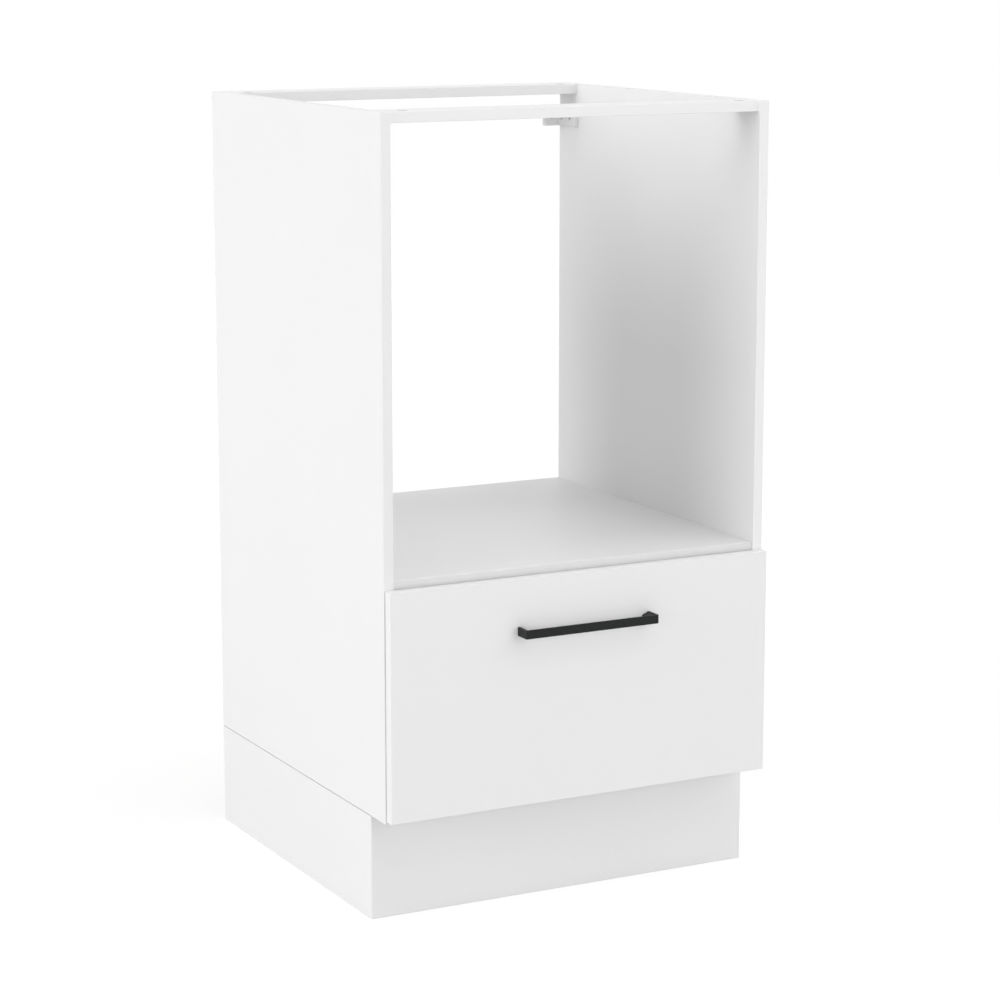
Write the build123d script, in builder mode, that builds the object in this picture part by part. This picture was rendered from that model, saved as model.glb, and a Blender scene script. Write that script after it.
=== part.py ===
"""Oven base cabinet: a tall carcass with an open oven niche over one deep drawer, on a plinth.

Millimetres, +Z up, +Y towards the wall. The origin is on the floor, in the middle of the bounding box.
"""

import os

from build123d import *

os.makedirs("parts", exist_ok=True)

# Sizes of the unit
cabinet_width = 600
body_height = 965
body_depth = 580
plinth_height = 150
board = 15
edge_round = 0.8
hidden_edge_round = 0.4

# Lower compartment and niche; the shelf and the front rail stand back from the front edges
compartment_height = 307
niche_setback = 4
rail_depth = 55

# Drawer front
front_thickness = 15
front_gap = 1
front_side_reveal = 1.5
front_bottom_reveal = 3
front_top_reveal = 11

# Bow handle
handle_length = 209
handle_height = 12.5
handle_projection = 26
handle_bar_thickness = 2.5
handle_leg_thickness = 3
handle_hole_spacing = 192
handle_centre_below_front_top = 73.5
handle_boss_depth = 18
handle_boss_wall = 3.2
handle_boss_tip = 3.2
handle_boss_overlap = 1
handle_round = 0.5
handle_screw_radius = 2
handle_screw_clearance_radius = 2.25
handle_screw_bite = 10
handle_screw_head_radius = 3.9
handle_screw_head_height = 2.6
handle_screw_cross_depth = 0.9

# Thin back of the lower compartment, held in grooves
back_thickness = 3
back_inset = 18
back_groove_depth = 5
back_groove_clearance = 0.2

# Plinth
plinth_setback = 47
plinth_top_gap = 1
corner_angle_leg = 16
corner_angle_thickness = 3
corner_angle_height = 90
corner_screw_from_corner = 10.2
corner_screw_spacing = 60

# Levelling legs
leg_tube_radius = 15
leg_tube_wall = 4.8
leg_board_distance = 22
leg_flange_radius = 30
leg_flange_thickness = 4
leg_hub_wall = 3.4
leg_hub_height = 24
leg_rear_distance = 55
leg_screw_circle_radius = 24.5
leg_tube_chamfer = 0.6
foot_pad_radius = 26
foot_pad_height = 7
foot_pad_round = 2
foot_cone_radius = 18.2
foot_cone_height = 19
foot_overlap = 1
foot_stem_length = 60
foot_tube_start = 30
leg_fit = 0.1

# Clips between the legs and the plinth boards
clip_wall = 3
clip_height = 12
clip_arm_width = 10
clip_plate_width = 34
clip_plate_height = 22
clip_plate_thickness = 3
clip_mouth_width = 20
clip_screw_edge_space = 2
front_clip_level = 70
side_clip_level = 98

# Cam connectors
cam_radius = 7.4
cam_bore_radius = 7.5
cam_centre_from_end = 25
cam_floor = 2.5
cam_recess_depth = 2
cam_cross_width = 1.4
cam_cross_length = 9
bolt_thread_radius = 2.95
bolt_thread_length = 10.5
bolt_shank_radius = 3.3
bolt_neck_radius = 2
bolt_neck_length = 4
bolt_head_radius = 3.1
bolt_fit = 0.05
bolt_run_clearance = 0.3

# Beech dowels
dowel_radius = 3.95
dowel_in_panel = 11
dowel_in_board = 19
dowel_fit = 0.05
dowel_end_space = 0.5

# Places of the connectors, from the front edge and the rear edge of a deep board
cam_from_front = 50
cam_from_rear = 110
dowel_from_cam = 96
rail_cam_from_front = 12
rail_dowel_from_front = 43

# Countersunk wood screws
screw_head_radius = 3.6
screw_head_height = 2.2
screw_radius = 1.75
screw_fit = 0.05
screw_cross_length = 4
screw_cross_width = 0.8
screw_cross_depth = 1.4
short_screw_length = 12.5
long_screw_length = 38
plinth_screw_length = 14
bracket_screw_length = 19

# Telescopic drawer runners, seen from the cabinet wall towards the drawer
runner_space = 12.7
runner_steel = 1.2
runner_setback = 3
runner_rear_space = 56
runner_above_side_bottom = 57
outer_half_height = 22.5
outer_reach = 10
middle_web_start = 3.2
middle_half_height = 17.7
middle_reach = 10
inner_half_height = 12.9
inner_reach_start = 6.4
lip_height = 0.8
lip_width = 0.6
runner_screw_from_front = 35
runner_screw_from_rear = 45

# Ball cages of the runners
ball_radius = 1.5
ball_pocket_radius = 1.62
balls_in_row = 7
ball_pitch = 22
cage_thickness = 0.8
cage_length = 156
outer_cage_web_start = 1.8
outer_cage_reach = 9
outer_ball_from_wall = 7
inner_cage_web_start = 5
inner_cage_reach = 10
inner_ball_from_wall = 7.6

# Drawer box
drawer_floor_gap = 13
drawer_headroom = 94
drawer_board = 15
drawer_bottom_thickness = 6
drawer_bottom_lift = 10
drawer_groove_depth = 7
drawer_bottom_tongue = 6.5
drawer_groove_clearance = 0.2
drawer_cam_low = 40
drawer_cam_high = 165
drawer_dowel_low = 72
drawer_dowel_high = 133
rear_screw_low = 100
rear_screw_high = 170
bottom_screw_spacing = 180

# Buffers between the drawer front and the carcass edges
buffer_radius = 4
buffer_thickness = 0.9
buffer_from_edge = 14

# Wall brackets under the rear rail
bracket_width = 31
bracket_depth = 60
bracket_height = 26
bracket_thickness = 8
bracket_top_below_cabinet_top = 40
bracket_round = 1
bracket_hole_radius = 2.75
bracket_screw_from_rear_near = 20
bracket_screw_from_rear_far = 46

# Planes of the unit, all derived from the sizes above
half_width = cabinet_width / 2
inner_half_width = half_width - board
total_depth = body_depth + front_gap + front_thickness + handle_projection
rear_y = total_depth / 2
carcass_front_y = rear_y - body_depth
front_back_y = carcass_front_y - front_gap
front_face_y = front_back_y - front_thickness
body_bottom_z = plinth_height
body_top_z = plinth_height + body_height
floor_top_z = body_bottom_z + board
shelf_bottom_z = floor_top_z + compartment_height
shelf_top_z = shelf_bottom_z + board
rail_bottom_z = body_top_z - board
front_bottom_z = body_bottom_z + front_bottom_reveal
front_top_z = shelf_top_z - front_top_reveal
back_rear_y = rear_y - back_inset
back_front_y = back_rear_y - back_thickness
plinth_face_y = carcass_front_y + plinth_setback
plinth_back_y = plinth_face_y + board
plinth_top_z = plinth_height - plinth_top_gap

runner_front_y = carcass_front_y + runner_setback
runner_rear_y = back_front_y - runner_rear_space
runner_mid_y = (runner_front_y + runner_rear_y) / 2
drawer_bottom_z = floor_top_z + drawer_floor_gap
drawer_top_z = shelf_bottom_z - drawer_headroom
runner_z = drawer_bottom_z + runner_above_side_bottom
drawer_outer_x = inner_half_width - runner_space
drawer_inner_x = drawer_outer_x - drawer_board
drawer_rear_y = runner_rear_y
drawer_rear_front_y = drawer_rear_y - drawer_board
panel_low_z = drawer_bottom_z + drawer_bottom_lift
panel_high_z = panel_low_z + drawer_bottom_thickness

handle_z = front_top_z - handle_centre_below_front_top
handle_half_length = handle_length / 2
handle_front_y = front_face_y - handle_projection

leg_front_y = plinth_back_y + leg_board_distance + leg_tube_radius
leg_rear_y = rear_y - leg_rear_distance
leg_x = inner_half_width - leg_board_distance - leg_tube_radius

bracket_top_z = body_top_z - bracket_top_below_cabinet_top
bracket_bottom_z = bracket_top_z - bracket_height
bracket_mid_z = (bracket_top_z + bracket_bottom_z) / 2

# Directions
origin = (0, 0, 0)
right = (1, 0, 0)
to_wall = (0, 1, 0)
to_front = (0, -1, 0)
up = (0, 0, 1)
down = (0, 0, -1)
sides = ((-1, "left"), (1, "right"))


def outward(side):
    """Direction from the middle of the unit to its left or right side."""
    return (side, 0, 0)


def inward(side):
    """Direction from the left or right side to the middle of the unit."""
    return (-side, 0, 0)


def block(x_a, x_b, y_a, y_b, z_a, z_b, mode=Mode.ADD):
    """A straight block between two corners, given in any order."""
    with Locations(((x_a + x_b) / 2, (y_a + y_b) / 2, (z_a + z_b) / 2)):
        Box(abs(x_b - x_a), abs(y_b - y_a), abs(z_b - z_a), mode=mode)


def turned(points, direction):
    """Planes at some points, whose Z axis runs along a direction."""
    return Locations(*[Plane(origin=point, z_dir=direction) for point in points])


def rods(starts, direction, radius, length, mode=Mode.ADD):
    """Cylinders that start at some points and run in a direction."""
    with turned(starts, direction):
        Cylinder(radius, length, align=(Align.CENTER, Align.CENTER, Align.MIN), mode=mode)


def rod(start, direction, radius, length, mode=Mode.ADD):
    """One cylinder that starts at a point and runs in a direction."""
    rods([start], direction, radius, length, mode)


def taper(start, direction, start_radius, end_radius, length):
    """A cone frustum that starts at a point and runs in a direction."""
    with turned([start], direction):
        Cone(start_radius, end_radius, length, align=(Align.CENTER, Align.CENTER, Align.MIN))


def put(shape, starts, direction, mode=Mode.ADD):
    """Copies of a ready shape, set at some points, with its Z axis along a direction."""
    with turned(starts, direction):
        add(shape, mode=mode)


def moved(point, direction, distance):
    """A point shifted along a direction."""
    return tuple(p + d * distance for p, d in zip(point, direction))


def cross(start, direction, length, width, depth):
    """A cross recess, sunk from the start point along the direction."""
    for turn in (0, 90):
        with Locations(Plane(origin=start, z_dir=direction).rotated((0, 0, turn))):
            Box(length, width, 2 * depth, mode=Mode.SUBTRACT)


def make_screw(length):
    """A countersunk screw along +Z, with its flat head at the origin."""
    with BuildPart() as one_screw:
        taper(origin, up, screw_head_radius, screw_radius, screw_head_height)
        rod(origin, up, screw_radius, length)
        cross(origin, up, screw_cross_length, screw_cross_width, screw_cross_depth)
    return one_screw.part


def make_screw_hole(length):
    """The countersunk hole around a screw of the same length."""
    head_radius = screw_head_radius + screw_fit
    hole_radius = screw_radius + screw_fit
    with BuildPart() as one_hole:
        taper(origin, up, head_radius, hole_radius, screw_head_height + screw_fit)
        rod(origin, up, hole_radius, length + screw_fit)
    return one_hole.part


def make_handle_screw():
    """A pan head screw along +Z, with the underside of its head at the origin."""
    head_top = (0, 0, -handle_screw_head_height)
    with BuildPart() as one_screw:
        rod(origin, up, handle_screw_radius, front_thickness + handle_screw_bite)
        rod(origin, down, handle_screw_head_radius, handle_screw_head_height)
        cross(head_top, up, screw_cross_length, screw_cross_width, handle_screw_cross_depth)
    return one_screw.part


def make_cam_bolt():
    """A cam bolt along +Z: its thread lies below the joint at the origin, its shank and head above."""
    shank_length = cam_centre_from_end - cam_radius
    head_start = shank_length + bolt_neck_length
    with BuildPart() as one_bolt:
        rod((0, 0, -bolt_thread_length), up, bolt_thread_radius, bolt_thread_length)
        rod(origin, up, bolt_shank_radius, shank_length)
        rod((0, 0, shank_length), up, bolt_neck_radius, bolt_neck_length)
        rod((0, 0, head_start), up, bolt_head_radius, cam_centre_from_end - head_start)
    return one_bolt.part


def make_cam(thickness):
    """A cam housing with its face at the origin, looking up, and a mouth towards -X for the bolt's head."""
    mouth_start = (-2 * cam_radius, 0, -thickness / 2)
    mouth_length = 2 * cam_radius + bolt_run_clearance
    with BuildPart() as one_cam:
        rod(origin, down, cam_radius, thickness - cam_floor - bolt_fit)
        rod(mouth_start, right, bolt_head_radius + bolt_run_clearance, mouth_length, Mode.SUBTRACT)
        cross(origin, down, cam_cross_length, cam_cross_width, cam_recess_depth)
    return one_cam.part


def cam_faces(joints, direction, face_direction, thickness):
    """Planes on the faces of cams: X runs along the bolt, Z out of the board."""
    planes = []
    for joint in joints:
        centre = moved(joint, direction, cam_centre_from_end)
        face = moved(centre, face_direction, thickness / 2)
        planes.append(Plane(origin=face, x_dir=direction, z_dir=face_direction))
    return planes


def bolt_thread_holes(joints, direction):
    """The holes for the cam bolts' threads in the panel that the joints lie on."""
    depth = bolt_thread_length + dowel_end_space
    starts = [moved(joint, direction, -depth) for joint in joints]
    rods(starts, direction, bolt_thread_radius + bolt_fit, depth, Mode.SUBTRACT)


def cam_bores(joints, direction, face_direction, thickness):
    """The blind bores of the cams, and the bores that the bolts reach them through."""
    bottom_up = (Align.CENTER, Align.CENTER, Align.MAX)
    rods(joints, direction, bolt_shank_radius + bolt_fit, cam_centre_from_end, Mode.SUBTRACT)
    with Locations(*cam_faces(joints, direction, face_direction, thickness)):
        Cylinder(cam_bore_radius, thickness - cam_floor, align=bottom_up, mode=Mode.SUBTRACT)


def dowels(joints, direction):
    """Dowels across the joints between a panel and the end of a board."""
    starts = [moved(joint, direction, -dowel_in_panel) for joint in joints]
    rods(starts, direction, dowel_radius, dowel_in_panel + dowel_in_board)


def dowel_holes(joints, direction):
    """Both halves of the dowels' holes; each board takes its own half."""
    starts = [moved(joint, direction, -dowel_in_panel - dowel_end_space) for joint in joints]
    length = dowel_in_panel + dowel_in_board + 2 * dowel_end_space
    rods(starts, direction, dowel_radius + dowel_fit, length, Mode.SUBTRACT)


def save(piece, label):
    """Names one finished piece and writes its STEP file."""
    piece.part.label = label
    export_step(piece.part, "parts/" + label + ".step")


# One of each screw and connector, and the hole of each screw
short_screw = make_screw(short_screw_length)
short_hole = make_screw_hole(short_screw_length)
long_screw = make_screw(long_screw_length)
long_hole = make_screw_hole(long_screw_length)
plinth_screw = make_screw(plinth_screw_length)
plinth_hole = make_screw_hole(plinth_screw_length)
bracket_screw = make_screw(bracket_screw_length)
bracket_hole = make_screw_hole(bracket_screw_length)
handle_screw = make_handle_screw()
cam_bolt = make_cam_bolt()
carcass_cam = make_cam(board)
drawer_cam = make_cam(drawer_board)

# Joints between the lying boards and the side panels: height, cam face, cam places, dowel places
deep_cams = (carcass_front_y + cam_from_front, rear_y - cam_from_rear)
deep_dowels = (deep_cams[0] + dowel_from_cam, deep_cams[1] - dowel_from_cam)
front_rail_front_y = carcass_front_y + niche_setback
rear_rail_front_y = rear_y - rail_depth
floor_joint = (body_bottom_z + board / 2, down, deep_cams, deep_dowels)
shelf_joint = (shelf_bottom_z + board / 2, down, deep_cams, deep_dowels)
front_rail_joint = (
    rail_bottom_z + board / 2,
    up,
    (front_rail_front_y + rail_cam_from_front,),
    (front_rail_front_y + rail_dowel_from_front,),
)
rear_rail_joint = (
    rail_bottom_z + board / 2,
    up,
    (rear_rail_front_y + rail_cam_from_front,),
    (rear_rail_front_y + rail_dowel_from_front,),
)
carcass_joints = (floor_joint, shelf_joint, front_rail_joint, rear_rail_joint)


def joint_points(side, level, places):
    """Points on a side panel's inner face, at one height."""
    return [(side * inner_half_width, y, level) for y in places]


def drawer_joint_points(side, levels):
    """Points on the drawer front's back, over the middle of one drawer side."""
    x = side * (drawer_outer_x - drawer_board / 2)
    return [(x, front_back_y, drawer_bottom_z + level) for level in levels]


# Screw places that several pieces share
runner_screw_ys = (
    runner_front_y + runner_screw_from_front,
    runner_mid_y,
    runner_rear_y - runner_screw_from_rear,
)
outer_web_x = inner_half_width - runner_steel
inner_web_x = drawer_outer_x + runner_steel
bracket_face_x = inner_half_width - bracket_thickness
bracket_screw_ys = (rear_y - bracket_screw_from_rear_near, rear_y - bracket_screw_from_rear_far)
leg_places = (
    (-leg_x, leg_front_y, "front_left"),
    (leg_x, leg_front_y, "front_right"),
    (-leg_x, leg_rear_y, "rear_left"),
    (leg_x, leg_rear_y, "rear_right"),
)
leg_flange_bottom_z = body_bottom_z - leg_flange_thickness
clip_plate_inset = leg_tube_radius + leg_board_distance - clip_plate_thickness
clip_screw_offset = clip_plate_width / 2 - screw_head_radius - clip_screw_edge_space
corner_mid_z = plinth_height / 2
corner_screw_levels = (corner_mid_z - corner_screw_spacing / 2, corner_mid_z + corner_screw_spacing / 2)


def leg_screw_starts(x, y):
    """Head points of the four screws of one leg flange."""
    step = leg_screw_circle_radius / 2**0.5
    return [(x + dx * step, y + dy * step, leg_flange_bottom_z) for dx in (-1, 1) for dy in (-1, 1)]


def outer_runner_screws(side):
    """Head points of the screws that hold a runner to the side panel."""
    return [(side * outer_web_x, y, runner_z) for y in runner_screw_ys]


def inner_runner_screws(side):
    """Head points of the screws that hold a runner to the drawer side."""
    return [(side * inner_web_x, y, runner_z) for y in runner_screw_ys]


def bracket_screws(side):
    """Head points of the screws that hold a wall bracket to the side panel."""
    return [(side * bracket_face_x, y, bracket_mid_z) for y in bracket_screw_ys]


def front_clip_screws(side):
    """Head points of the two screws that hold one clip to the plinth's front board."""
    x = side * leg_x
    y = plinth_back_y + clip_plate_thickness
    return [(x + offset, y, front_clip_level) for offset in (-clip_screw_offset, clip_screw_offset)]


def side_clip_screws(side, leg_y):
    """Head points of the two screws that hold one clip to a plinth side board."""
    x = side * (inner_half_width - clip_plate_thickness)
    return [(x, leg_y + offset, side_clip_level) for offset in (-clip_screw_offset, clip_screw_offset)]


def corner_front_screws(side):
    """Head points on the leg of a corner angle that lies on the front board."""
    x = side * (inner_half_width - corner_screw_from_corner)
    return [(x, plinth_back_y + corner_angle_thickness, level) for level in corner_screw_levels]


def corner_side_screws(side):
    """Head points on the leg of a corner angle that lies on the side board."""
    x = side * (inner_half_width - corner_angle_thickness)
    return [(x, plinth_back_y + corner_screw_from_corner, level) for level in corner_screw_levels]


all_leg_screws = [start for x, y, corner in leg_places for start in leg_screw_starts(x, y)]
all_clip_side_screws = {
    side: [start for leg_y in (leg_front_y, leg_rear_y) for start in side_clip_screws(side, leg_y)]
    for side, word in sides
}


# Side panels
for side, word in sides:
    with BuildPart() as side_panel:
        block(
            side * inner_half_width,
            side * half_width,
            carcass_front_y,
            rear_y,
            body_bottom_z,
            body_top_z,
        )
        fillet(side_panel.faces().sort_by(Axis.Y)[0].edges(), edge_round)
        for level, face, cam_ys, dowel_ys in carcass_joints:
            bolt_thread_holes(joint_points(side, level, cam_ys), inward(side))
            dowel_holes(joint_points(side, level, dowel_ys), inward(side))
        put(short_hole, outer_runner_screws(side), outward(side), Mode.SUBTRACT)
        put(bracket_hole, bracket_screws(side), outward(side), Mode.SUBTRACT)
        block(
            side * inner_half_width,
            side * (inner_half_width + back_groove_depth),
            back_front_y - back_groove_clearance,
            back_rear_y + back_groove_clearance,
            floor_top_z - back_groove_depth,
            shelf_bottom_z + back_groove_depth,
            Mode.SUBTRACT,
        )
    save(side_panel, word + "_side_panel")

# Floor board of the carcass
with BuildPart() as bottom_panel:
    block(-inner_half_width, inner_half_width, carcass_front_y, rear_y, body_bottom_z, floor_top_z)
    fillet(bottom_panel.faces().sort_by(Axis.Y)[0].edges().filter_by(Axis.X), edge_round)
    for side, word in sides:
        level, face, cam_ys, dowel_ys = floor_joint
        cam_bores(joint_points(side, level, cam_ys), inward(side), face, board)
        dowel_holes(joint_points(side, level, dowel_ys), inward(side))
    put(plinth_hole, all_leg_screws, up, Mode.SUBTRACT)
    block(
        -inner_half_width,
        inner_half_width,
        back_front_y - back_groove_clearance,
        back_rear_y + back_groove_clearance,
        floor_top_z - back_groove_depth,
        floor_top_z,
        Mode.SUBTRACT,
    )
save(bottom_panel, "bottom_panel")

# Shelf that carries the oven
with BuildPart() as oven_shelf:
    block(
        -inner_half_width,
        inner_half_width,
        carcass_front_y + niche_setback,
        rear_y,
        shelf_bottom_z,
        shelf_top_z,
    )
    fillet(oven_shelf.faces().sort_by(Axis.Y)[0].edges().filter_by(Axis.X), edge_round)
    for side, word in sides:
        level, face, cam_ys, dowel_ys = shelf_joint
        cam_bores(joint_points(side, level, cam_ys), inward(side), face, board)
        dowel_holes(joint_points(side, level, dowel_ys), inward(side))
    block(
        -inner_half_width,
        inner_half_width,
        back_front_y - back_groove_clearance,
        back_rear_y + back_groove_clearance,
        shelf_bottom_z,
        shelf_bottom_z + back_groove_depth,
        Mode.SUBTRACT,
    )
save(oven_shelf, "oven_shelf")

# Lying rails at the top of the niche
top_rails = (
    ("front_top_rail", front_rail_front_y, front_rail_joint),
    ("rear_top_rail", rear_rail_front_y, rear_rail_joint),
)
for label, rail_front_y, joint in top_rails:
    level, face, cam_ys, dowel_ys = joint
    with BuildPart() as top_rail:
        block(
            -inner_half_width,
            inner_half_width,
            rail_front_y,
            rail_front_y + rail_depth,
            rail_bottom_z,
            body_top_z,
        )
        fillet(top_rail.faces().sort_by(Axis.Y)[0].edges().filter_by(Axis.X), edge_round)
        for side, word in sides:
            cam_bores(joint_points(side, level, cam_ys), inward(side), face, board)
            dowel_holes(joint_points(side, level, dowel_ys), inward(side))
    save(top_rail, label)

# Thin back of the lower compartment
with BuildPart() as lower_back_panel:
    tongue = back_groove_depth - back_groove_clearance
    block(
        -inner_half_width - tongue,
        inner_half_width + tongue,
        back_front_y,
        back_rear_y,
        floor_top_z - tongue,
        shelf_bottom_z + tongue,
    )
save(lower_back_panel, "lower_back_panel")

# Connectors of the carcass
with BuildPart() as cam_locks:
    for side, word in sides:
        for level, face, cam_ys, dowel_ys in carcass_joints:
            points = joint_points(side, level, cam_ys)
            with Locations(*cam_faces(points, inward(side), face, board)):
                add(carcass_cam)
save(cam_locks, "cam_locks")

with BuildPart() as cam_bolts:
    for side, word in sides:
        for level, face, cam_ys, dowel_ys in carcass_joints:
            put(cam_bolt, joint_points(side, level, cam_ys), inward(side))
save(cam_bolts, "cam_bolts")

with BuildPart() as wood_dowels:
    for side, word in sides:
        for level, face, cam_ys, dowel_ys in carcass_joints:
            dowels(joint_points(side, level, dowel_ys), inward(side))
save(wood_dowels, "wood_dowels")

# Plinth boards
with BuildPart() as plinth_front_board:
    block(-half_width, half_width, plinth_face_y, plinth_back_y, 0, plinth_top_z)
    fillet(plinth_front_board.faces().sort_by(Axis.Y)[0].edges(), edge_round)
    for side, word in sides:
        put(plinth_hole, front_clip_screws(side) + corner_front_screws(side), to_front, Mode.SUBTRACT)
save(plinth_front_board, "plinth_front_board")

for side, word in sides:
    with BuildPart() as plinth_side_board:
        block(side * inner_half_width, side * half_width, plinth_back_y, rear_y, 0, plinth_top_z)
        fillet(plinth_side_board.faces().sort_by(Axis.Y)[-1].edges(), hidden_edge_round)
        starts = corner_side_screws(side) + all_clip_side_screws[side]
        put(plinth_hole, starts, outward(side), Mode.SUBTRACT)
    save(plinth_side_board, "plinth_" + word + "_board")

# Plastic angles in the front corners of the plinth
for side, word in sides:
    with BuildPart() as corner_angle:
        low_z = corner_mid_z - corner_angle_height / 2
        high_z = corner_mid_z + corner_angle_height / 2
        block(
            side * inner_half_width,
            side * (inner_half_width - corner_angle_leg),
            plinth_back_y,
            plinth_back_y + corner_angle_thickness,
            low_z,
            high_z,
        )
        block(
            side * inner_half_width,
            side * (inner_half_width - corner_angle_thickness),
            plinth_back_y,
            plinth_back_y + corner_angle_leg,
            low_z,
            high_z,
        )
        put(plinth_hole, corner_front_screws(side), to_front, Mode.SUBTRACT)
        put(plinth_hole, corner_side_screws(side), outward(side), Mode.SUBTRACT)
    save(corner_angle, "plinth_corner_angle_" + word)

# Levelling legs: a socket under the floor board, a tube, and a foot that screws into the tube
leg_bore_radius = leg_tube_radius - leg_tube_wall
leg_hub_radius = leg_tube_radius + leg_fit + leg_hub_wall
leg_hub_bottom_z = leg_flange_bottom_z - leg_hub_height
for place_x, place_y, corner in leg_places:
    with BuildPart() as leg_socket:
        rod((place_x, place_y, leg_flange_bottom_z), up, leg_flange_radius, leg_flange_thickness)
        rod((place_x, place_y, leg_hub_bottom_z), up, leg_hub_radius, leg_hub_height)
        rod(
            (place_x, place_y, leg_hub_bottom_z),
            up,
            leg_tube_radius + leg_fit,
            leg_hub_height,
            Mode.SUBTRACT,
        )
        put(plinth_hole, leg_screw_starts(place_x, place_y), up, Mode.SUBTRACT)
    save(leg_socket, "leg_socket_" + corner)

    with BuildPart() as leg_tube:
        tube_length = leg_flange_bottom_z - foot_tube_start
        rod((place_x, place_y, foot_tube_start), up, leg_tube_radius, tube_length)
        rod((place_x, place_y, foot_tube_start), up, leg_bore_radius, tube_length, Mode.SUBTRACT)
        chamfer(leg_tube.edges().group_by(Axis.Z)[0], leg_tube_chamfer)
    save(leg_tube, "leg_tube_" + corner)

    with BuildPart() as leg_foot:
        rod((place_x, place_y, 0), up, foot_pad_radius, foot_pad_height)
        fillet(leg_foot.edges().group_by(Axis.Z)[-1], foot_pad_round)
        cone_start = (place_x, place_y, foot_pad_height - foot_overlap)
        taper(cone_start, up, foot_cone_radius, leg_tube_radius, foot_cone_height)
        rod(cone_start, up, leg_bore_radius - leg_fit, foot_stem_length)
    save(leg_foot, "leg_foot_" + corner)

# Clips that snap on the leg tubes and hold the plinth boards
clip_places = [Location((side * leg_x, leg_front_y, front_clip_level), (0, 0, 180)) for side, word in sides]
for side, word in sides:
    for leg_y in (leg_front_y, leg_rear_y):
        clip_places.append(Location((side * leg_x, leg_y, side_clip_level), (0, 0, -90 * side)))
with BuildPart() as plinth_clips:
    with Locations(*clip_places):
        Cylinder(leg_tube_radius + leg_fit + clip_wall, clip_height)
        with Locations((0, clip_plate_inset / 2, 0)):
            Box(clip_arm_width, clip_plate_inset, clip_height)
        with Locations((0, clip_plate_inset + clip_plate_thickness / 2, 0)):
            Box(clip_plate_width, clip_plate_thickness, clip_plate_height)
        with Locations((0, -leg_tube_radius, 0)):
            Box(clip_mouth_width, leg_tube_radius, clip_height, mode=Mode.SUBTRACT)
        Cylinder(leg_tube_radius + leg_fit, clip_height, mode=Mode.SUBTRACT)
    for side, word in sides:
        put(plinth_hole, front_clip_screws(side), to_front, Mode.SUBTRACT)
        put(plinth_hole, all_clip_side_screws[side], outward(side), Mode.SUBTRACT)
save(plinth_clips, "plinth_clips")

with BuildPart() as leg_and_plinth_screws:
    put(plinth_screw, all_leg_screws, up)
    for side, word in sides:
        put(plinth_screw, front_clip_screws(side) + corner_front_screws(side), to_front)
        put(plinth_screw, corner_side_screws(side) + all_clip_side_screws[side], outward(side))
save(leg_and_plinth_screws, "leg_and_plinth_screws")

# Wall brackets in the rear top corners of the niche
bracket_hole_x = inner_half_width - bracket_thickness - (bracket_width - bracket_thickness) / 2
for side, word in sides:
    with BuildPart() as wall_bracket:
        block(
            side * inner_half_width,
            side * bracket_face_x,
            rear_y - bracket_depth,
            rear_y,
            bracket_bottom_z,
            bracket_top_z,
        )
        block(
            side * inner_half_width,
            side * (inner_half_width - bracket_width),
            rear_y - bracket_thickness,
            rear_y,
            bracket_bottom_z,
            bracket_top_z,
        )
        fillet(wall_bracket.edges().filter_by(Axis.Z), bracket_round)
        put(bracket_hole, bracket_screws(side), outward(side), Mode.SUBTRACT)
        rod(
            (side * bracket_hole_x, rear_y - bracket_thickness, bracket_mid_z),
            to_wall,
            bracket_hole_radius,
            bracket_thickness,
            Mode.SUBTRACT,
        )
    save(wall_bracket, "wall_bracket_" + word)

with BuildPart() as wall_bracket_screws:
    for side, word in sides:
        put(bracket_screw, bracket_screws(side), outward(side))
save(wall_bracket_screws, "wall_bracket_screws")


def rail_block(side, from_wall_a, from_wall_b, z_a, z_b, y_a, y_b, mode=Mode.ADD):
    """A block of a runner, placed by its distances from the cabinet wall."""
    x_a = side * (inner_half_width - from_wall_a)
    x_b = side * (inner_half_width - from_wall_b)
    block(x_a, x_b, y_a, y_b, runner_z + z_a, runner_z + z_b, mode)


def channel(side, web_start, open_edge, half_height, thickness, y_a, y_b):
    """A C-shaped strip: a web at web_start and two flanges that reach the open edge."""
    step = thickness if open_edge > web_start else -thickness
    rail_block(side, web_start, web_start + step, -half_height, half_height, y_a, y_b)
    for sign in (-1, 1):
        inner_edge = sign * (half_height - thickness)
        rail_block(side, web_start, open_edge, sign * half_height, inner_edge, y_a, y_b)


def lips(side, open_edge, half_height, y_a, y_b):
    """The turned edges that keep the balls inside a channel."""
    for sign in (-1, 1):
        rail_block(
            side,
            open_edge - lip_width,
            open_edge,
            sign * (half_height - runner_steel),
            sign * (half_height - runner_steel - lip_height),
            y_a,
            y_b,
        )


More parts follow.
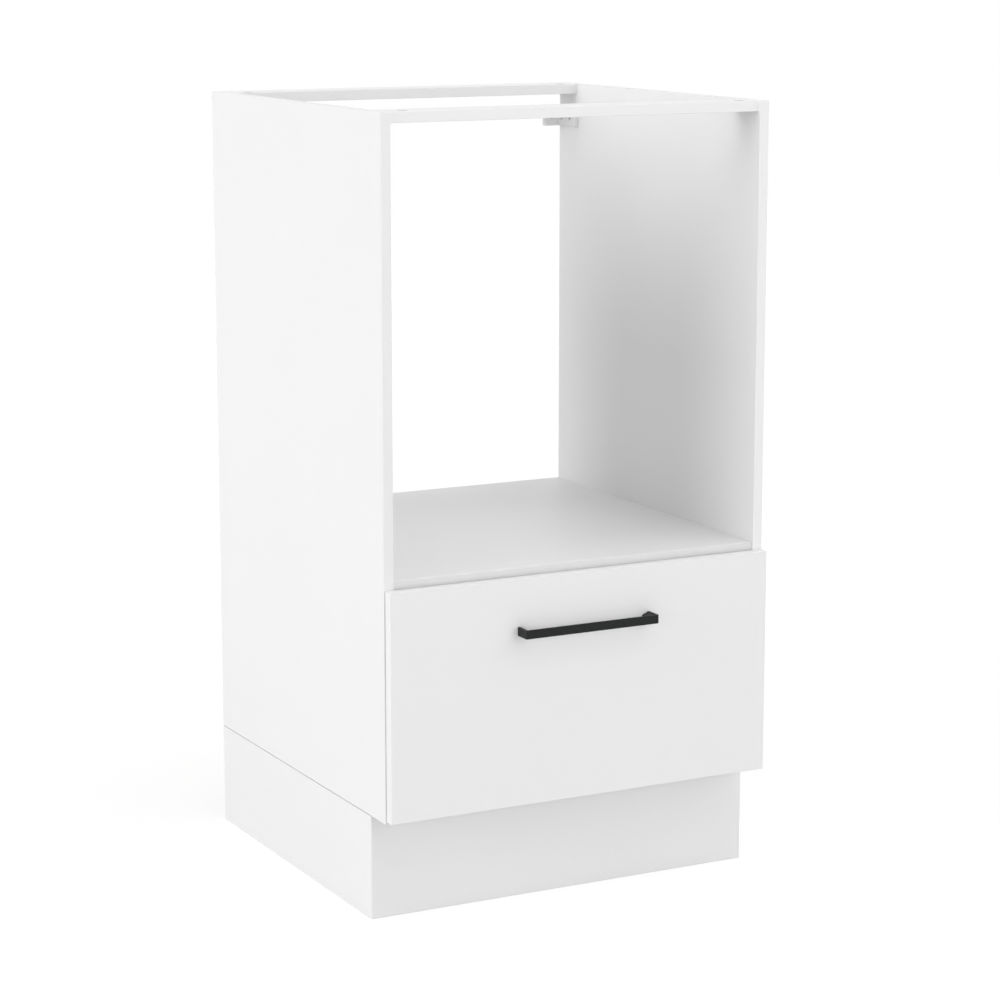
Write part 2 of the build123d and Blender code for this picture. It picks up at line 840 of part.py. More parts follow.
# Runners: the cabinet member, the middle member and the drawer member on each side
for side, word in sides:
    with BuildPart() as runner_outer:
        channel(side, 0, outer_reach, outer_half_height, runner_steel, runner_front_y, runner_rear_y)
        lips(side, outer_reach, outer_half_height, runner_front_y, runner_rear_y)
        put(short_hole, outer_runner_screws(side), outward(side), Mode.SUBTRACT)
    save(runner_outer, word + "_runner_outer")

    with BuildPart() as runner_middle:
        channel(
            side,
            middle_web_start,
            middle_reach,
            middle_half_height,
            runner_steel,
            runner_front_y,
            runner_rear_y,
        )
        lips(side, middle_reach, middle_half_height, runner_front_y, runner_rear_y)
    save(runner_middle, word + "_runner_middle")

    with BuildPart() as runner_inner:
        channel(
            side,
            runner_space,
            inner_reach_start,
            inner_half_height,
            runner_steel,
            runner_front_y,
            runner_rear_y,
        )
        put(short_hole, inner_runner_screws(side), inward(side), Mode.SUBTRACT)
    save(runner_inner, word + "_runner_inner")

    outer_ball_z = (outer_half_height - runner_steel + middle_half_height) / 2
    inner_ball_z = (middle_half_height - runner_steel + inner_half_height) / 2
    cages = (
        ("outer", outer_cage_web_start, outer_cage_reach, outer_ball_from_wall, outer_ball_z),
        ("inner", inner_cage_web_start, inner_cage_reach, inner_ball_from_wall, inner_ball_z),
    )
    for place, web_start, reach, ball_from_wall, ball_z in cages:
        ball_points = [
            (
                side * (inner_half_width - ball_from_wall),
                runner_mid_y + (index - (balls_in_row - 1) / 2) * ball_pitch,
                runner_z + sign * ball_z,
            )
            for index in range(balls_in_row)
            for sign in (-1, 1)
        ]
        with BuildPart() as ball_cage:
            channel(
                side,
                web_start,
                reach,
                ball_z + cage_thickness / 2,
                cage_thickness,
                runner_mid_y - cage_length / 2,
                runner_mid_y + cage_length / 2,
            )
            with Locations(*ball_points):
                Cylinder(ball_pocket_radius, 2 * ball_radius, mode=Mode.SUBTRACT)
        save(ball_cage, word + "_" + place + "_ball_cage")

        with BuildPart() as balls:
            with Locations(*ball_points):
                Sphere(ball_radius)
        save(balls, word + "_" + place + "_balls")

with BuildPart() as runner_outer_screws:
    for side, word in sides:
        put(short_screw, outer_runner_screws(side), outward(side))
save(runner_outer_screws, "runner_outer_screws")

with BuildPart() as runner_inner_screws:
    for side, word in sides:
        put(short_screw, inner_runner_screws(side), inward(side))
save(runner_inner_screws, "runner_inner_screws")

# Drawer front
drawer_cam_levels = (drawer_cam_low, drawer_cam_high)
drawer_dowel_levels = (drawer_dowel_low, drawer_dowel_high)
front_half_width = half_width - front_side_reveal
handle_hole_xs = (-handle_hole_spacing / 2, handle_hole_spacing / 2)
handle_holes = [(x, front_face_y, handle_z) for x in handle_hole_xs]
with BuildPart() as drawer_front:
    block(
        -front_half_width,
        front_half_width,
        front_face_y,
        front_back_y,
        front_bottom_z,
        front_top_z,
    )
    fillet(drawer_front.edges(), edge_round)
    for side, word in sides:
        bolt_thread_holes(drawer_joint_points(side, drawer_cam_levels), to_wall)
        dowel_holes(drawer_joint_points(side, drawer_dowel_levels), to_wall)
    rods(handle_holes, to_wall, handle_screw_clearance_radius, front_thickness, Mode.SUBTRACT)
    block(
        -drawer_inner_x - drawer_groove_depth,
        drawer_inner_x + drawer_groove_depth,
        front_back_y,
        front_back_y - drawer_groove_depth,
        panel_low_z - drawer_groove_clearance,
        panel_high_z + drawer_groove_clearance,
        Mode.SUBTRACT,
    )
save(drawer_front, "drawer_front")

# Drawer sides
rear_screw_levels = (drawer_bottom_z + rear_screw_low, drawer_bottom_z + rear_screw_high)
rear_screw_y = (drawer_rear_front_y + drawer_rear_y) / 2


def drawer_rear_screws(side):
    """Head points of the screws that hold a drawer side to the rear panel."""
    return [(side * drawer_outer_x, rear_screw_y, level) for level in rear_screw_levels]


for side, word in sides:
    with BuildPart() as drawer_side:
        block(
            side * drawer_inner_x,
            side * drawer_outer_x,
            front_back_y,
            drawer_rear_y,
            drawer_bottom_z,
            drawer_top_z,
        )
        fillet(drawer_side.faces().sort_by(Axis.Z)[-1].edges().filter_by(Axis.Y), edge_round)
        cam_bores(drawer_joint_points(side, drawer_cam_levels), to_wall, inward(side), drawer_board)
        dowel_holes(drawer_joint_points(side, drawer_dowel_levels), to_wall)
        put(short_hole, inner_runner_screws(side), inward(side), Mode.SUBTRACT)
        put(long_hole, drawer_rear_screws(side), inward(side), Mode.SUBTRACT)
        block(
            side * drawer_inner_x,
            side * (drawer_inner_x + drawer_groove_depth),
            front_back_y,
            drawer_rear_y,
            panel_low_z - drawer_groove_clearance,
            panel_high_z + drawer_groove_clearance,
            Mode.SUBTRACT,
        )
    save(drawer_side, "drawer_" + word + "_side")

# Drawer rear panel, standing on the drawer bottom
bottom_screws = [(x, rear_screw_y, panel_low_z) for x in (-bottom_screw_spacing, 0, bottom_screw_spacing)]
with BuildPart() as drawer_rear_panel:
    block(
        -drawer_inner_x,
        drawer_inner_x,
        drawer_rear_front_y,
        drawer_rear_y,
        panel_high_z,
        drawer_top_z,
    )
    fillet(drawer_rear_panel.faces().sort_by(Axis.Z)[-1].edges().filter_by(Axis.X), edge_round)
    for side, word in sides:
        put(long_hole, drawer_rear_screws(side), inward(side), Mode.SUBTRACT)
    put(long_hole, bottom_screws, up, Mode.SUBTRACT)
save(drawer_rear_panel, "drawer_rear_panel")

# Drawer bottom, in grooves of the front and the sides
with BuildPart() as drawer_bottom_panel:
    block(
        -drawer_inner_x - drawer_bottom_tongue,
        drawer_inner_x + drawer_bottom_tongue,
        front_back_y - drawer_bottom_tongue,
        drawer_rear_y,
        panel_low_z,
        panel_high_z,
    )
    put(long_hole, bottom_screws, up, Mode.SUBTRACT)
save(drawer_bottom_panel, "drawer_bottom_panel")

# Connectors of the drawer
with BuildPart() as drawer_cam_locks:
    for side, word in sides:
        points = drawer_joint_points(side, drawer_cam_levels)
        with Locations(*cam_faces(points, to_wall, inward(side), drawer_board)):
            add(drawer_cam)
save(drawer_cam_locks, "drawer_cam_locks")

with BuildPart() as drawer_cam_bolts:
    for side, word in sides:
        put(cam_bolt, drawer_joint_points(side, drawer_cam_levels), to_wall)
save(drawer_cam_bolts, "drawer_cam_bolts")

with BuildPart() as drawer_dowels:
    for side, word in sides:
        dowels(drawer_joint_points(side, drawer_dowel_levels), to_wall)
save(drawer_dowels, "drawer_dowels")

with BuildPart() as drawer_screws:
    for side, word in sides:
        put(long_screw, drawer_rear_screws(side), inward(side))
    put(long_screw, bottom_screws, up)
save(drawer_screws, "drawer_screws")

# Bow handle of flat section, with a screw boss behind each leg
leg_inner_x = handle_half_length - handle_leg_thickness
boss_start_x = leg_inner_x + handle_boss_overlap
boss_end_x = handle_hole_spacing / 2 - handle_boss_wall
half_handle_height = handle_height / 2
with BuildPart() as handle:
    block(
        -handle_half_length,
        handle_half_length,
        handle_front_y,
        front_face_y,
        handle_z - half_handle_height,
        handle_z + half_handle_height,
    )
    block(
        -leg_inner_x,
        leg_inner_x,
        handle_front_y + handle_bar_thickness,
        front_face_y,
        handle_z - half_handle_height,
        handle_z + half_handle_height,
        Mode.SUBTRACT,
    )
    fillet(handle.faces().sort_by(Axis.Y)[0].edges(), handle_round)
    for side, word in sides:
        with BuildSketch(Plane(origin=(0, front_face_y, handle_z), x_dir=right, z_dir=to_front)):
            with BuildLine():
                Polyline(
                    (side * boss_start_x, -half_handle_height + handle_round),
                    (side * leg_inner_x, -half_handle_height + handle_round),
                    (side * boss_end_x, -handle_boss_tip / 2),
                    (side * boss_end_x, handle_boss_tip / 2),
                    (side * leg_inner_x, half_handle_height - handle_round),
                    (side * boss_start_x, half_handle_height - handle_round),
                    close=True,
                )
            make_face()
        extrude(amount=handle_boss_depth)
    bore_radius = handle_screw_radius + screw_fit
    rods(handle_holes, to_front, bore_radius, handle_screw_bite + dowel_end_space, Mode.SUBTRACT)
save(handle, "handle")

with BuildPart() as handle_screws:
    put(handle_screw, [(x, front_back_y, handle_z) for x in handle_hole_xs], to_front)
save(handle_screws, "handle_screws")

# Soft buffers on the back of the drawer front
buffer_x = (half_width + inner_half_width) / 2
with BuildPart() as front_buffers:
    for side, word in sides:
        for level in (front_bottom_z + buffer_from_edge, front_top_z - buffer_from_edge):
            rod((side * buffer_x, front_back_y, level), to_wall, buffer_radius, buffer_thickness)
save(front_buffers, "front_buffers")
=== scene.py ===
"""Looks of the oven base cabinet: melamine boards, black handle, zinc fittings, on a pale studio floor."""

import math
from typing import NamedTuple

import bpy
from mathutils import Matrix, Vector


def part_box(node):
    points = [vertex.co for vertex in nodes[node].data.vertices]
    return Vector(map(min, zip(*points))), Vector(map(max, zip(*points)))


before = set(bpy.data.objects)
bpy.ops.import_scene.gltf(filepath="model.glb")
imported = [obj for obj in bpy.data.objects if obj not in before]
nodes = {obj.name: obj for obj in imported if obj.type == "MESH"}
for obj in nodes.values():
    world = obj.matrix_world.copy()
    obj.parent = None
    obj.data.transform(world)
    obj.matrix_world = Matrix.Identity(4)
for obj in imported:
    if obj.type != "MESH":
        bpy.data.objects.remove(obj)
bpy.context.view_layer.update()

millimetre = 0.001


class Face(NamedTuple):
    """One side of a board: the axis that it looks along, 0 to 2 for x to z, and its way along it."""

    axis: int
    sign: int


class Sun(NamedTuple):
    """A wide lamp far away, by its angles in degrees. Heading 0 is in front, and 90 at the left."""

    name: str
    heading: float
    elevation: float
    spread: float
    strength: float

    def direction(self):
        """Direction from the cabinet to the lamp."""
        turn = math.radians(self.heading)
        rise = math.radians(self.elevation)
        return Vector((-math.sin(turn) * math.cos(rise), -math.cos(turn) * math.cos(rise), math.sin(rise)))


front_face = Face(axis=1, sign=-1)
rear_face = Face(axis=1, sign=1)
upper_face = Face(axis=2, sign=1)
lower_face = Face(axis=2, sign=-1)

# Nodes, grouped by how they are dressed
carcass_boards = (
    "left_side_panel",
    "right_side_panel",
    "bottom_panel",
    "oven_shelf",
    "front_top_rail",
    "rear_top_rail",
)
plinth_boards = ("plinth_front_board", "plinth_left_board", "plinth_right_board")
drawer_boards = ("drawer_left_side", "drawer_right_side", "drawer_rear_panel")
screws = (
    "runner_outer_screws",
    "runner_inner_screws",
    "wall_bracket_screws",
    "drawer_screws",
    "leg_and_plinth_screws",
    "handle_screws",
)
sides = ("left", "right")

# Camera, where the photograph was taken: at the left, a little above the cabinet
camera_place = Vector((-1.9381, -3.7424, 1.342))
camera_heading = math.radians(27.58)
camera_tilt = math.radians(10.93)
lens_in_millimetres = 105.4
sensor_in_millimetres = 36

# Colours, as linear light
melamine_light = (0.812, 0.811, 0.813)
melamine_dark = (0.796, 0.795, 0.797)
front_light = (0.81, 0.809, 0.811)
front_dark = (0.798, 0.797, 0.799)
seam_colour = (0.52, 0.52, 0.51)
chip_light = (0.56, 0.42, 0.27)
chip_dark = (0.27, 0.17, 0.095)
fibre_light = (0.34, 0.22, 0.13)
fibre_dark = (0.2, 0.125, 0.07)
black_coat = (0.009, 0.0108, 0.0098)
zinc_light = (0.66, 0.67, 0.69)
zinc_dark = (0.5, 0.51, 0.53)
cast_light = (0.62, 0.62, 0.63)
cast_dark = (0.46, 0.46, 0.47)
polished_light = (0.78, 0.77, 0.74)
beech_light = (0.6, 0.42, 0.25)
beech_dark = (0.45, 0.28, 0.15)
leg_black = (0.018, 0.018, 0.02)
cage_black = (0.03, 0.03, 0.033)
bracket_grey = (0.72, 0.715, 0.715)
angle_white = (0.75, 0.75, 0.74)
buffer_clear = (0.7, 0.72, 0.72)

# Painted light and shade: how light the edging strips are drawn against the faces of their boards, where
# the light on them differs
painted_strip_light_and_shade = {
    "left_side_panel": 0.985,
    "right_side_panel": 1.015,
    "front_top_rail": 1.01,
    "rear_top_rail": 0.91,
    "oven_shelf": 0.9,
}

# Edging strips. On a board's rounded edge, a strip starts to show at one turn of the surface
# and is full at another
strip_thickness = 1.1 * millimetre
strip_start_turn = 0.1
strip_full_turn = 0.5
seam_half_width = 0.12 * millimetre
seam_strength = 0.55

# Raw cut edges. Out from a board's middle, its fine skin starts at one share of the half thickness
# and is full at another
skin_start = 0.62
skin_full = 0.74
cut_roughness = 0.9

# Least turn at which a surface counts as looking a face's way
face_turn = 0.6

# Floor and room. To the camera the floor glows at a level, and a share of it takes light and shadow
floor_half_size = 9
floor_white = 0.65
floor_camera_level = 1.02
floor_camera_share = 0.25
room_light = 0.25

suns = (
    Sun("left_sun", heading=90, elevation=15, spread=40, strength=1.86),
    Sun("left_front_sun", heading=45, elevation=5, spread=30, strength=0.35),
    Sun("front_sun", heading=0, elevation=0, spread=50, strength=1.2),
    Sun("right_front_sun", heading=-35, elevation=30, spread=50, strength=0.65),
    Sun("right_sun", heading=-80, elevation=30, spread=50, strength=0.63),
    Sun("rear_sun", heading=180, elevation=35, spread=60, strength=0.31),
    Sun("upper_sun", heading=0, elevation=80, spread=60, strength=0.88),
)


def by_identifier(sockets, identifier):
    """One of several sockets that share a name."""
    return next(socket for socket in sockets if socket.identifier == identifier)


class Finish:
    """A procedural material, built up by short calls that add its nodes."""

    def __init__(self, name, metallic=0.0, specular=0.5):
        self.material = bpy.data.materials.new(name)
        self.material.use_nodes = True
        self.tree = self.material.node_tree
        self.shader = self.tree.nodes["Principled BSDF"]
        self.shader.inputs["Metallic"].default_value = metallic
        self.shader.inputs["Specular IOR Level"].default_value = specular
        self.coordinates = self.add("ShaderNodeTexCoord")
        self.bumps = None

    def add(self, kind, **settings):
        """A new node of a kind, with its settings."""
        node = self.tree.nodes.new(kind)
        for key, value in settings.items():
            setattr(node, key, value)
        return node

    def join(self, source, target):
        """Links an output to an input."""
        self.tree.links.new(source, target)

    def stretched(self, scale):
        """Object coordinates, stretched by a factor along each axis."""
        mapping = self.add("ShaderNodeMapping")
        mapping.inputs["Scale"].default_value = scale
        self.join(self.coordinates.outputs["Object"], mapping.inputs["Vector"])
        return mapping.outputs["Vector"]

    def noise(self, per_metre, detail, stretch=(1, 1, 1)):
        """Cloudy noise between 0 and 1, with so many cells in a metre."""
        texture = self.add("ShaderNodeTexNoise")
        texture.inputs["Scale"].default_value = per_metre
        texture.inputs["Detail"].default_value = detail
        self.join(self.stretched(stretch), texture.inputs["Vector"])
        return texture.outputs["Fac"]

    def cells(self, per_metre, stretch=(1, 1, 1)):
        """Random value of each cell of a cellular pattern."""
        texture = self.add("ShaderNodeTexVoronoi")
        texture.inputs["Scale"].default_value = per_metre
        self.join(self.stretched(stretch), texture.inputs["Vector"])
        split = self.add("ShaderNodeSeparateColor")
        self.join(texture.outputs["Color"], split.inputs["Color"])
        return split.outputs["Red"]

    def component(self, output, axis):
        """One component of the place on the object, or of the surface's direction."""
        split = self.add("ShaderNodeSeparateXYZ")
        self.join(self.coordinates.outputs[output], split.inputs["Vector"])
        return split.outputs[axis]

    def maths(self, operation, first, second=0.0):
        """The result of a sum or a comparison, of which each value may be a number or an output."""
        node = self.add("ShaderNodeMath", operation=operation)
        for value, socket in zip((first, second), node.inputs):
            if isinstance(value, (int, float)):
                socket.default_value = value
            else:
                self.join(value, socket)
        return node.outputs["Value"]

    def scaled(self, value, factor):
        """A value times a factor, which may be a number or an output."""
        return self.maths("MULTIPLY", value, factor)

    def distance(self, axis, place):
        """How far a point lies from a place on an axis."""
        return self.maths("ABSOLUTE", self.maths("SUBTRACT", self.component("Object", axis), place))

    def turn(self, face):
        """How far the surface is turned a face's way: 1 fully, 0 square to it, -1 the other way."""
        return self.scaled(self.component("Normal", face.axis), face.sign)

    def on_face(self, face):
        """1 where the surface looks a face's way, 0 elsewhere."""
        return self.maths("GREATER_THAN", self.turn(face), face_turn)

    def ramp(self, value, low, high):
        """0 below the low value, 1 above the high one, and evenly rising between them."""
        node = self.add("ShaderNodeMapRange", clamp=True)
        self.join(value, node.inputs["Value"])
        node.inputs["From Min"].default_value = low
        node.inputs["From Max"].default_value = high
        return node.outputs["Result"]

    def between(self, factor, low, high):
        """A number between two numbers."""
        node = self.add("ShaderNodeMapRange")
        self.join(factor, node.inputs["Value"])
        node.inputs["To Min"].default_value = low
        node.inputs["To Max"].default_value = high
        return node.outputs["Result"]

    def blend(self, factor, first, second):
        """A colour between two colours, of which each may be plain or an output."""
        node = self.add("ShaderNodeMix", data_type="RGBA")
        self.join(factor, node.inputs["Factor"])
        for colour, identifier in ((first, "A_Color"), (second, "B_Color")):
            socket = by_identifier(node.inputs, identifier)
            if isinstance(colour, tuple):
                socket.default_value = (*colour, 1)
            else:
                self.join(colour, socket)
        return by_identifier(node.outputs, "Result_Color")

    def colour(self, output):
        """Gives the surface its colour."""
        self.join(output, self.shader.inputs["Base Color"])

    def roughness(self, output):
        """Gives the surface its roughness."""
        self.join(output, self.shader.inputs["Roughness"])

    def bump(self, height, depth, strength):
        """Raises the surface by a height pattern. Later calls add to earlier ones."""
        node = self.add("ShaderNodeBump")
        node.inputs["Distance"].default_value = depth
        node.inputs["Strength"].default_value = strength
        self.join(height, node.inputs["Height"])
        if self.bumps is not None:
            self.join(self.bumps, node.inputs["Normal"])
        self.bumps = node.outputs["Normal"]
        self.join(self.bumps, self.shader.inputs["Normal"])


def shaded(colour, factor):
    """A colour, made lighter or darker by a factor."""
    return tuple(value * factor for value in colour)


def chipboard(finish, low, high):
    """Colour of a board's cut edge: coarse chips in its middle layer, fine ones in its two skins."""
    sizes = [high[axis] - low[axis] for axis in range(3)]
    thin_axis = sizes.index(min(sizes))
    half = sizes[thin_axis] / 2
    depth = finish.distance(thin_axis, (low[thin_axis] + high[thin_axis]) / 2)
    skin = finish.ramp(depth, half * skin_start, half * skin_full)
    coarse = finish.cells(per_metre=330, stretch=(1, 1, 0.6))
    fine = finish.cells(per_metre=1300)
    middle_chips = finish.blend(coarse, chip_dark, chip_light)
    skin_chips = finish.blend(fine, fibre_light, chip_light)
    grain = finish.scaled(finish.noise(per_metre=900, detail=3), factor=0.5)
    return finish.blend(grain, finish.blend(skin, middle_chips, skin_chips), chip_dark)


def melamine(node, strip_face, raw_face=None, painted_light_factor=1.0):
    """White melamine board: pearl texture, an edging strip with its seam and its painted light and shade,
    and perhaps a raw edge.
    """
    low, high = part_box(node)
    finish = Finish("melamine_" + node, specular=0.45)
    cloud = finish.noise(per_metre=7, detail=4)
    surface = finish.blend(cloud, melamine_dark, melamine_light)
    roughness = finish.between(finish.noise(per_metre=140, detail=3), low=0.36, high=0.48)

    corner = low if strip_face.sign < 0 else high
    seam_place = corner[strip_face.axis] - strip_face.sign * strip_thickness
    seam = finish.maths("LESS_THAN", finish.distance(strip_face.axis, seam_place), seam_half_width)
    surface = finish.blend(finish.scaled(seam, seam_strength), surface, seam_colour)
    strip = finish.ramp(finish.turn(strip_face), strip_start_turn, strip_full_turn)
    # The strip's colour is made lighter or darker by the board's factor, which is painted light and shade
    strip_dark = shaded(melamine_dark, painted_light_factor)
    strip_light = shaded(melamine_light, painted_light_factor)
    surface = finish.blend(strip, surface, finish.blend(cloud, strip_dark, strip_light))

    if raw_face is not None:
        cut = finish.on_face(raw_face)
        surface = finish.blend(cut, surface, chipboard(finish, low, high))
        roughness = finish.maths("MAXIMUM", roughness, finish.scaled(cut, cut_roughness))
        chips = finish.scaled(finish.cells(per_metre=420), cut)
        finish.bump(chips, depth=0.25 * millimetre, strength=0.6)

    finish.colour(surface)
    finish.roughness(roughness)
    finish.bump(finish.noise(per_metre=1100, detail=3), depth=0.03 * millimetre, strength=0.55)
    finish.bump(finish.noise(per_metre=90, detail=2), depth=0.05 * millimetre, strength=0.25)
    return finish.material


def satin_front():
    """Smooth white front: a satin film with a faint orange peel."""
    finish = Finish("white_front")
    finish.colour(finish.blend(finish.noise(per_metre=5, detail=3), front_dark, front_light))
    finish.roughness(finish.between(finish.noise(per_metre=60, detail=3), low=0.33, high=0.41))
    finish.bump(finish.noise(per_metre=420, detail=2), depth=0.04 * millimetre, strength=0.3)
    finish.bump(finish.noise(per_metre=1800, detail=2), depth=0.015 * millimetre, strength=0.4)
    return finish.material


def hardboard(name, painted_face):
    """Thin hardboard: white paint on one face, brown fibre on the other and at the edges."""
    finish = Finish(name, specular=0.4)
    painted = finish.on_face(painted_face)
    strands = finish.noise(per_metre=700, detail=6, stretch=(1, 1, 0.35))
    fibre = finish.blend(strands, fibre_dark, fibre_light)
    paint = finish.blend(finish.noise(per_metre=9, detail=3), melamine_dark, melamine_light)
    finish.colour(finish.blend(painted, fibre, paint))
    finish.roughness(finish.between(painted, low=0.8, high=0.45))
    finish.bump(finish.noise(per_metre=1500, detail=4), depth=0.06 * millimetre, strength=0.5)
    return finish.material


def powder_coat():
    """Black powder coat of the handle: satin, with a fine grain."""
    finish = Finish("black_powder_coat", specular=0.22)
    lighter = shaded(black_coat, factor=1.3)
    finish.colour(finish.blend(finish.noise(per_metre=300, detail=4), black_coat, lighter))
    finish.roughness(finish.between(finish.noise(per_metre=500, detail=3), low=0.36, high=0.5))
    finish.bump(finish.noise(per_metre=2600, detail=3), depth=0.03 * millimetre, strength=0.7)
    return finish.material


def plated_steel(name, smooth, dull, rolled=(1, 1, 1)):
    """Zinc plated steel with a cloudy bloom, and with streaks along the way that it was rolled."""
    finish = Finish(name, metallic=1.0)
    streaks = finish.noise(per_metre=1600, detail=4, stretch=rolled)
    bloom = finish.noise(per_metre=45, detail=5)
    colour = finish.blend(streaks, zinc_dark, zinc_light)
    finish.colour(finish.blend(finish.scaled(bloom, factor=0.35), colour, zinc_dark))
    finish.roughness(finish.between(bloom, low=smooth, high=dull))
    finish.bump(streaks, depth=0.01 * millimetre, strength=0.4)
    return finish.material


def cast_zinc():
    """Dull die cast zinc of the cam housings."""
    finish = Finish("cast_zinc", metallic=1.0)
    finish.colour(finish.blend(finish.noise(per_metre=600, detail=5), cast_dark, cast_light))
    finish.roughness(finish.between(finish.noise(per_metre=250, detail=3), low=0.42, high=0.62))
    finish.bump(finish.noise(per_metre=1400, detail=4), depth=0.05 * millimetre, strength=0.5)
    return finish.material


def polished_steel():
    """Bearing balls, bright under a film of grease."""
    finish = Finish("ball_steel", metallic=1.0)
    finish.colour(finish.blend(finish.noise(per_metre=700, detail=3), zinc_light, polished_light))
    finish.roughness(finish.between(finish.noise(per_metre=900, detail=3), low=0.06, high=0.2))
    return finish.material


def beech():
    """Beech dowels, with grain and pressed flutes along them."""
    finish = Finish("beech", specular=0.3)
    grain = finish.noise(per_metre=900, detail=5, stretch=(0.08, 1, 1))
    finish.colour(finish.blend(grain, beech_dark, beech_light))
    finish.roughness(finish.between(grain, low=0.62, high=0.78))
    finish.bump(grain, depth=0.12 * millimetre, strength=0.6)
    return finish.material


def moulded(name, colour, lighter, smooth, dull):
    """Moulded plastic with an eroded surface, in a colour that is lighter by a factor here and there."""
    finish = Finish(name, specular=0.45)
    finish.colour(finish.blend(finish.noise(per_metre=35, detail=4), colour, shaded(colour, lighter)))
    finish.roughness(finish.between(finish.noise(per_metre=220, detail=3), low=smooth, high=dull))
    finish.bump(finish.noise(per_metre=1500, detail=3), depth=0.05 * millimetre, strength=0.6)
    return finish.material


def dress(material, *names):
    """Gives a material to CAD nodes."""
    for name in names:
        slots = nodes[name].data.materials
        if len(slots) == 0:
            slots.append(material)
        for index in range(len(slots)):
            slots[index] = material


def dress_boards():
    """Every board gets its own melamine, because its seam and raw edge lie at its own places."""
    for name in carcass_boards:
        # The front rail's rear edge is faced, because it shows from above
        raw_face = None if name == "front_top_rail" else rear_face
        # Each board's strip gets its own factor of painted light and shade
        dress(melamine(name, front_face, raw_face, painted_strip_light_and_shade.get(name, 1.0)), name)
    for name in plinth_boards:
        dress(melamine(name, lower_face), name)
    for name in drawer_boards:
        dress(melamine(name, upper_face, lower_face), name)
    dress(satin_front(), "drawer_front")
    dress(hardboard("white_hardboard_back", front_face), "lower_back_panel")
    dress(hardboard("white_hardboard_bottom", upper_face), "drawer_bottom_panel")


def dress_metal():
    """Handle, connectors, screws and runners."""
    dress(powder_coat(), "handle")
    dress(cast_zinc(), "cam_locks", "drawer_cam_locks")
    dress(plated_steel("bolt_steel", smooth=0.28, dull=0.46), "cam_bolts", "drawer_cam_bolts")
    dress(plated_steel("screw_steel", smooth=0.24, dull=0.42), *screws)
    runner_steel = plated_steel("runner_steel", smooth=0.24, dull=0.42, rolled=(1, 0.04, 1))
    ball_steel = polished_steel()
    for side in sides:
        for member in ("outer", "middle", "inner"):
            dress(runner_steel, f"{side}_runner_{member}")
        for place in ("outer", "inner"):
            dress(ball_steel, f"{side}_{place}_balls")


def dress_wood_and_plastic():
    """Dowels, ball cages, legs, clips, angles, brackets and buffers."""
    dress(beech(), "wood_dowels", "drawer_dowels")
    leg = moulded("leg_plastic", leg_black, lighter=1.2, smooth=0.45, dull=0.58)
    cage = moulded("cage_plastic", cage_black, lighter=1.2, smooth=0.4, dull=0.53)
    angle = moulded("angle_plastic", angle_white, lighter=1.04, smooth=0.4, dull=0.53)
    bracket = moulded("bracket_plastic", bracket_grey, lighter=1.03, smooth=0.35, dull=0.48)
    for side in sides:
        for piece in ("socket", "tube", "foot"):
            for end in ("front", "rear"):
                dress(leg, f"leg_{piece}_{end}_{side}")
        for place in ("outer", "inner"):
            dress(cage, f"{side}_{place}_ball_cage")
        dress(angle, f"plinth_corner_angle_{side}")
        dress(bracket, f"wall_bracket_{side}")
    dress(leg, "plinth_clips")
    dress(moulded("buffer_rubber", buffer_clear, lighter=1.05, smooth=0.25, dull=0.38), "front_buffers")


def grey(level):
    """A neutral colour of a level, opaque."""
    return (level, level, level, 1)


def plain_shader(tree, kind, **values):
    """The output of a new shader of a kind, with values on its inputs."""
    node = tree.nodes.new(kind)
    for name, value in values.items():
        node.inputs[name].default_value = value
    return node.outputs[0]


def joined(tree, kind, *sources, **settings):
    """The output of a new node of a kind, whose inputs take the sources in turn."""
    node = tree.nodes.new(kind)
    for key, value in settings.items():
        setattr(node, key, value)
    for source, socket in zip(sources, node.inputs):
        tree.links.new(source, socket)
    return node.outputs[0]


def seen_or_mirrored(tree):
    """1 for what the camera sees, also in a reflection or through glass, and 0 for light on the object."""
    path = tree.nodes.new("ShaderNodeLightPath")
    result = path.outputs["Is Camera Ray"]
    for ray in ("Is Glossy Ray", "Is Transmission Ray"):
        result = joined(tree, "ShaderNodeMath", result, path.outputs[ray], operation="MAXIMUM")
    return result


def shown_as(tree, output_kind, lighting, shown):
    """Lets a floor or world light the object in one way, and look another way to the camera."""
    surface = joined(tree, "ShaderNodeMixShader", seen_or_mirrored(tree), lighting, shown)
    tree.links.new(surface, tree.nodes.new(output_kind).inputs["Surface"])


def open_floor_light():
    """What a white floor would show where nothing shades it."""
    return room_light + sum(sun.strength * sun.direction().z / math.pi for sun in suns)


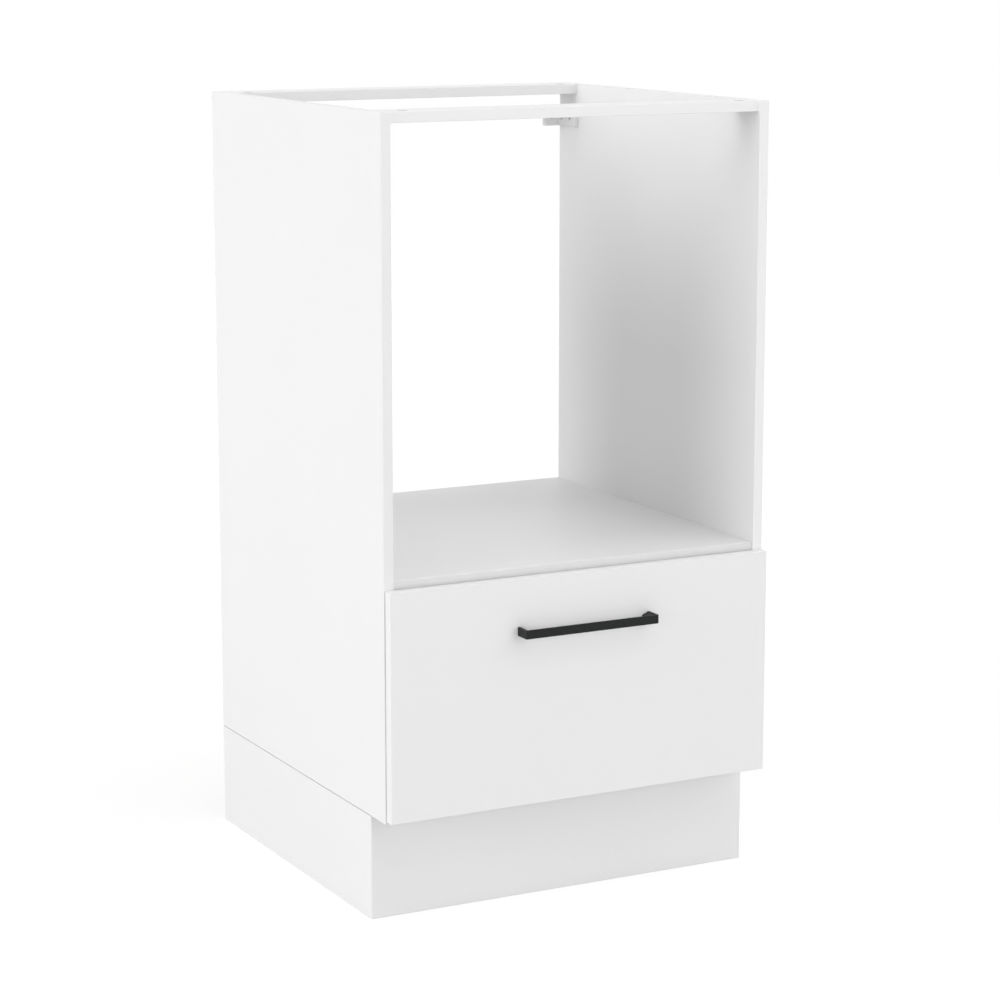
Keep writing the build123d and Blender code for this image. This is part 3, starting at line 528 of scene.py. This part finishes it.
def floor_material():
    """A pale surface that lights the object. What the camera sees of it is white, less the soft shadow."""
    material = bpy.data.materials.new("studio_floor")
    material.use_nodes = True
    tree = material.node_tree
    tree.nodes.clear()
    plain = plain_shader(tree, "ShaderNodeBsdfDiffuse", Color=grey(floor_white))
    shadowed = plain_shader(tree, "ShaderNodeBsdfDiffuse", Color=grey(floor_camera_share))
    glow_strength = floor_camera_level - floor_camera_share * open_floor_light()
    glow = plain_shader(tree, "ShaderNodeEmission", Strength=glow_strength)
    shown = joined(tree, "ShaderNodeAddShader", shadowed, glow)
    shown_as(tree, "ShaderNodeOutputMaterial", plain, shown)
    return material


def new_object(name, data):
    """A new object in the scene, with its mesh, lamp or camera."""
    item = bpy.data.objects.new(name, data)
    bpy.context.scene.collection.objects.link(item)
    return item


def make_floor():
    """A wide square floor under the cabinet."""
    half = floor_half_size
    mesh = bpy.data.meshes.new("studio_floor")
    corners = [(-half, -half, 0), (half, -half, 0), (half, half, 0), (-half, half, 0)]
    mesh.from_pydata(corners, [], [(0, 1, 2, 3)])
    mesh.materials.append(floor_material())
    floor = new_object("studio_floor", mesh)


def make_world():
    """White to the camera and in reflections, and an even soft light for everything else."""
    world = bpy.data.worlds.new("studio")
    world.use_nodes = True
    bpy.context.scene.world = world
    tree = world.node_tree
    tree.nodes.clear()
    room = plain_shader(tree, "ShaderNodeBackground", Color=grey(1), Strength=room_light)
    white = plain_shader(tree, "ShaderNodeBackground", Color=grey(1), Strength=1)
    shown_as(tree, "ShaderNodeOutputWorld", room, white)


def make_suns():
    """Wide lamps, so that the light is even. They don't show in reflections, where the white room does."""
    for sun in suns:
        light = bpy.data.lights.new(sun.name, "SUN")
        light.energy = sun.strength
        light.angle = math.radians(sun.spread)
        lamp = new_object(sun.name, light)
        lamp.rotation_mode = "QUATERNION"
        lamp.rotation_quaternion = sun.direction().to_track_quat("Z", "Y")
        lamp.visible_glossy = False


def make_camera():
    """Looks at the cabinet from the left, tilted down, with a level horizon."""
    data = bpy.data.cameras.new("photo_camera")
    data.lens = lens_in_millimetres
    data.sensor_width = sensor_in_millimetres
    camera = new_object("photo_camera", data)
    camera.location = camera_place
    camera.rotation_euler = (math.pi / 2 - camera_tilt, 0, -camera_heading)
    bpy.context.scene.camera = camera


make_camera()
dress_boards()
dress_metal()
dress_wood_and_plastic()
make_floor()
make_world()
make_suns()
bpy.context.scene.view_settings.view_transform = "Standard"
